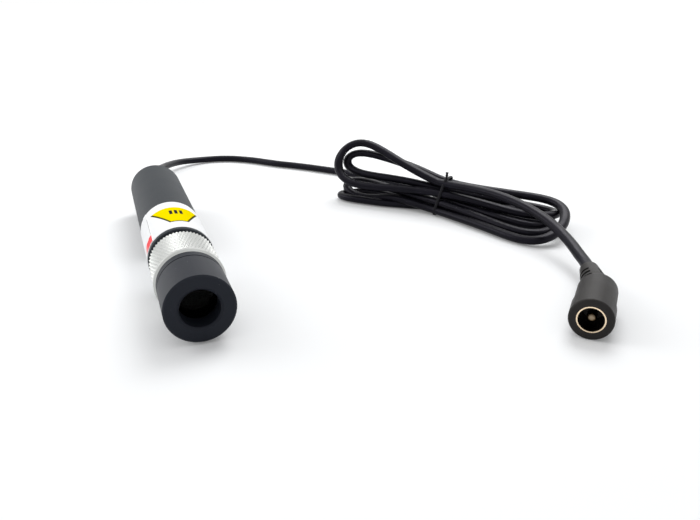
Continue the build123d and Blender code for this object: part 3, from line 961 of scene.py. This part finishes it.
    def wide_axes(self, path: np.ndarray) -> np.ndarray:
        """The direction of the cord's width, which stays level and turns slowly.

        Args:
            path: Even points along the cord.

        Returns:
            One direction for each point.
        """
        step = np.linalg.norm(path[1] - path[0])
        wide = np.cross(np.gradient(path, axis=0) / step, (0.0, 0.0, 1.0))
        for k in range(1, len(wide)):
            if wide[k] @ wide[k - 1] < 0:
                wide[k] *= -1
        spread = int(self.twist_spread / step)
        reach = 3 * spread
        window = np.exp(-0.5 * (np.arange(-reach, reach + 1) / spread) ** 2)
        padded = np.pad(wide, ((reach, reach), (0, 0)), mode="edge")
        return np.stack([np.convolve(padded[:, k], window, mode="valid") for k in range(3)], 1)

    def build(self, nodes: dict[str, bpy.types.Object],
              material: bpy.types.Material) -> bpy.types.Object:
        """Args:
            nodes: The frame's nodes; not used.
            material: The jacket's material.

        Returns:
            The cord.
        """
        self.path = self.spline()
        wide = self.wide_axes(self.path)
        section = oval(self.size[0] / 2, self.size[1] / 2, self.squareness, self.facets)
        cord = new_object("lead_cord", *swept(self.path, wide, section))
        cord.data.materials.append(material)
        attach(cord, "housing")
        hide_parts("lead_run", "cable_hank", "lead_tail")
        measured = float(np.linalg.norm(np.diff(self.path, axis=0), axis=1).sum())
        log.info("lead: %.1f mm along its spline", measured / MM)
        return cord


@dataclass
class Tie:
    """The wire tie round the hank's waist, with its twisted ends.

    Args:
        lead: The lead whose passes it holds.
        margin_mm: From the middle of an outer pass to the middle of the strip.
        floor_gap_mm: The lowest height of the strip's middle.
        waist_half_mm: How far across the hank a pass can be.
        strip: The strip's half width and half thickness.
        squareness: The power of its section's superellipse.
        facets: How many points its section has.
        slant: How far it leans along the hank for its height.
        band_points: How many points its band has.
        smoothings: How many times they are smoothed.
        end_radius: The radius of each twisted end, and of their twist.
        end_facets: How many points an end's round section has.
        end_height: How high the twisted ends stand.
        end_lean: How far they lean over, along X.
        end_turn: How far they turn round each other, in radians.
        end_points: How many points each has.
    """

    lead: Lead
    margin_mm: float = 1.6
    floor_gap_mm: float = 0.35
    waist_half_mm: float = 12.0
    strip: Pair = (0.0005, 0.00026)
    squareness: float = 3.0
    facets: int = 12
    slant: float = 0.19
    band_points: int = 96
    smoothings: int = 3
    end_radius: float = 0.00024
    end_facets: int = 10
    end_height: float = 0.0021
    end_lean: float = 0.0001
    end_turn: float = 7.0
    end_points: int = 26

    def crossings(self) -> np.ndarray:
        """Finds where the cord passes through the tie.

        Returns:
            Each pass's distance across the hank and its height, in millimetres.
        """
        local = self.lead.path / MM - np.array(self.lead.waist_mm)
        along = local @ np.array(self.lead.along)
        side = local @ np.array(self.lead.side)
        passes = np.nonzero((along[:-1] <= 0) != (along[1:] <= 0))[0]
        return np.array([(side[k], local[k, 2]) for k in passes if abs(side[k]) < self.waist_half_mm])

    def band(self) -> np.ndarray:
        """Lays the band's closed line round the passes of the cord.

        Returns:
            Its points, in metres.
        """
        passes = self.crossings()
        rows = []
        for angle in np.linspace(0, 2 * math.pi, self.band_points, endpoint=False):
            facing = np.array((math.cos(angle), math.sin(angle)))
            side, height = passes[int(np.argmax(passes @ facing))] + facing * self.margin_mm
            height = max(height, self.floor_gap_mm)
            rows.append(self.lead.across(self.slant * height, side, height))
        closed = np.array(rows)
        for _ in range(self.smoothings):
            closed = (np.roll(closed, 1, axis=0) + 2 * closed + np.roll(closed, -1, axis=0)) / 4
        return closed * MM

    def twisted_end(self, foot: np.ndarray, phase: float) -> tuple[np.ndarray, Faces]:
        """Makes one of the two ends that are twisted together.

        Args:
            foot: Where the twist starts.
            phase: The end's angle there.

        Returns:
            Its points and faces.
        """
        along, side = np.array(self.lead.along), np.array(self.lead.side)
        rise = np.linspace(0, 1, self.end_points)
        turn = rise * self.end_turn + phase
        line = (foot + self.end_radius * np.outer(np.cos(turn), along)
                + self.end_radius * np.outer(np.sin(turn), side)
                + np.outer(rise, (self.end_lean, 0.0, self.end_height)))
        wide = np.repeat(along[None], self.end_points, 0)
        return swept(line, wide, oval(self.end_radius, self.end_radius, ELLIPSE, self.end_facets))

    def build(self, material: bpy.types.Material) -> bpy.types.Object:
        """Makes the tie.

        Args:
            material: Its coating's material.

        Returns:
            The tie.
        """
        ring = self.band()
        closed = np.vstack([ring, ring[:1]])
        wide = np.repeat(np.array([self.lead.along]), len(closed), 0)
        points, faces = swept(closed, wide, oval(*self.strip, self.squareness, self.facets))
        # The band meets itself, so it has no end faces.
        faces = faces[:-2]
        foot = ring[int(np.argmax(ring[:, 2]))]
        for phase in (0.0, math.pi):
            end_points, end_faces = self.twisted_end(foot, phase)
            faces += [tuple(len(points) + k for k in face) for face in end_faces]
            points = np.vstack([points, end_points])
        tie = new_object("tie_wire", points, faces)
        tie.data.materials.append(material)
        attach(tie, "housing")
        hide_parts("hank_tie")
        log.info("tie: round %d passes of the lead", len(self.crossings()))
        return tie


@dataclass
class Dressing:
    """Gives each node of the frame the finish of its slot.

    Args:
        frame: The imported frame, as it was loaded.
    """

    frame: dict[str, dict]

    def materials(self) -> dict[Slot, bpy.types.Material]:
        """Builds every finish once."""
        return {slot: finish.build() for slot, finish in FINISHES.items()}

    def dress(self, made: dict[Slot, bpy.types.Material]) -> None:
        """Puts the finishes on the nodes.

        Args:
            made: The materials, by slot.
        """
        slots = {part["node"]: Slot(part["material_slot"]) for part in self.frame["record"]["subparts"]}
        for name, node in self.frame["nodes"].items():
            node.data.materials.clear()
            node.data.materials.append(made[slots[name]])
            log.info("%s: %s", name, FINISHES[slots[name]].name)


@dataclass(frozen=True)
class Lamp:
    """A square soft light that faces the object.

    Args:
        name: Its name.
        place: Where it hangs.
        size: Its side.
        power: Its power in watts.
    """

    name: str
    place: Triple
    size: float
    power: float

    def hang(self, aim: Vector) -> None:
        """Puts the lamp up.

        Args:
            aim: The point that it faces.
        """
        data = bpy.data.lights.new(self.name, "AREA")
        data.size = self.size
        data.energy = self.power
        lamp = bpy.data.objects.new(self.name, data)
        lamp.location = self.place
        lamp.rotation_euler = (aim - Vector(self.place)).to_track_quat("-Z", "Y").to_euler()
        bpy.context.scene.collection.objects.link(lamp)


@dataclass
class Studio:
    """The pale floor, the soft lights and the camera.

    Args:
        eye: The camera's place.
        heading: The camera's direction over the floor.
        pitch: How far it looks down, in degrees.
        lens: Its focal length, in millimetres.
        sensor: The width of its sensor, in millimetres.
        clip: How near and how far it sees.
        floor_half: Half the floor's side.
        floor_colour: The floor's colour, linear.
        floor_rough: Its roughness.
        floor_specular: Its specular level.
        sweep_reach: How far from the object the floor's own glow starts to grow, and is full.
        sweep_glow: The glow near the object and far from it, where the lamps don't reach.
        sky: The room's light from below and before the object, and from above and behind it.
        sky_axis: The direction from which the room's light is strongest.
        aim: Where the lamps point.
        lamps: The lamps.
    """

    eye: Triple = (-0.01329, -0.17145, 0.06726)
    heading: Pair = (0.3551, 0.9348)
    pitch: float = 22.144
    lens: float = 32.99
    sensor: float = 36.0
    clip: Pair = (0.005, 50.0)
    floor_half: float = 12.0
    floor_colour: Triple = (0.80, 0.81, 0.82)
    floor_rough: float = 0.9
    floor_specular: float = 0.1
    sweep_reach: Pair = (0.20, 0.65)
    sweep_glow: Pair = (0.13, 0.66)
    sky: Pair = (0.10, 0.66)
    sky_axis: Triple = (0.0, 0.55, 0.835)
    aim: Triple = (0.04, 0.0, 0.0)
    lamps: tuple[Lamp, ...] = (
        Lamp("key", (0.35, 0.30, 0.55), 0.4, 2.5),
        Lamp("fill", (-0.42, 0.28, 0.28), 0.4, 1.4),
        Lamp("top", (0.05, 0.20, 0.60), 0.7, 0.7),
    )

    def camera(self) -> None:
        """Places the camera at the photograph's angle."""
        data = bpy.data.cameras.new("view")
        data.lens = self.lens
        data.sensor_width = self.sensor
        data.sensor_fit = "HORIZONTAL"
        data.clip_start, data.clip_end = self.clip
        camera = bpy.data.objects.new("view", data)
        down = math.radians(self.pitch)
        right, ahead = (part * math.cos(down) for part in self.heading)
        look = Vector((right, ahead, -math.sin(down)))
        camera.location = self.eye
        camera.rotation_euler = look.to_track_quat("-Z", "Y").to_euler()
        bpy.context.scene.collection.objects.link(camera)
        bpy.context.scene.camera = camera

    def seen(self, graph: Graph) -> Socket:
        """A mask of the rays that see the room's white.

        Args:
            graph: The floor's or the room's graph.

        Returns:
            1 for camera, glossy and transmission rays, and 0 for the light on surfaces.
        """
        rays = graph.node("LightPath")
        seen = graph.math("MAXIMUM", rays.outputs["Is Camera Ray"], rays.outputs["Is Glossy Ray"])
        return graph.math("MAXIMUM", seen, rays.outputs["Is Transmission Ray"])

    def floor(self) -> None:
        """Lays a pale floor that looks white and keeps the object's shadow."""
        half = self.floor_half
        corners = np.array([(-half, -half, 0), (half, -half, 0), (half, half, 0), (-half, half, 0)])
        floor = new_object("floor", corners, [(0, 1, 2, 3)])
        material = bpy.data.materials.new("Pale floor")
        material.use_nodes = True
        graph = Graph(material.node_tree)
        shader = material.node_tree.nodes["Principled BSDF"]
        graph.fill(shader, {"Base Color": (*self.floor_colour, 1.0), "Roughness": self.floor_rough,
                            "Specular IOR Level": self.floor_specular})
        away = graph.node("VectorMath", operation="LENGTH")
        graph.put(away.inputs[0], graph.place())
        sweep = graph.span(away.outputs["Value"], *self.sweep_reach, *self.sweep_glow)
        glow = graph.node("Emission")
        graph.fill(glow, {"Color": WHITE, "Strength": graph.math("MULTIPLY", self.seen(graph), sweep)})
        total = graph.node("AddShader")
        graph.put(total.inputs[0], shader.outputs[0])
        graph.put(total.inputs[1], glow.outputs[0])
        graph.put(material.node_tree.nodes["Material Output"].inputs["Surface"], total.outputs[0])
        floor.data.materials.append(material)

    def world(self) -> None:
        """Fills the room with plain light and shows it as white."""
        world = bpy.data.worlds.new("room")
        world.use_nodes = True
        bpy.context.scene.world = world
        graph = Graph(world.node_tree)
        light = world.node_tree.nodes["Background"]
        facing = graph.node("VectorMath", operation="DOT_PRODUCT")
        graph.put(facing.inputs[0], graph.node("TexCoord").outputs["Generated"])
        facing.inputs[1].default_value = self.sky_axis
        sky = graph.span(facing.outputs["Value"], -1.0, 1.0, *self.sky)
        graph.fill(light, {"Color": WHITE, "Strength": graph.math("MAXIMUM", self.seen(graph), sky)})

    def build(self) -> None:
        """Sets up the floor, the lights and the camera."""
        self.camera()
        self.floor()
        self.world()
        for lamp in self.lamps:
            lamp.hang(Vector(self.aim))
        bpy.context.scene.view_settings.view_transform = "Standard"


def main() -> None:
    """Loads the frame, dresses it, adds the lead and the tie, and reports each piece."""
    logging.basicConfig(level=logging.INFO, format="%(name)s: %(message)s")
    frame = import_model()
    dressing = Dressing(frame)
    made = dressing.materials()
    dressing.dress(made)
    lead = Lead()
    for piece in (lead.build(frame["nodes"], made[Slot.CORD]), Tie(lead).build(made[Slot.TIE])):
        log.info("%s: %d faces", piece.name, len(piece.data.polygons))
    Studio().build()


if __name__ == "__main__":
    main()
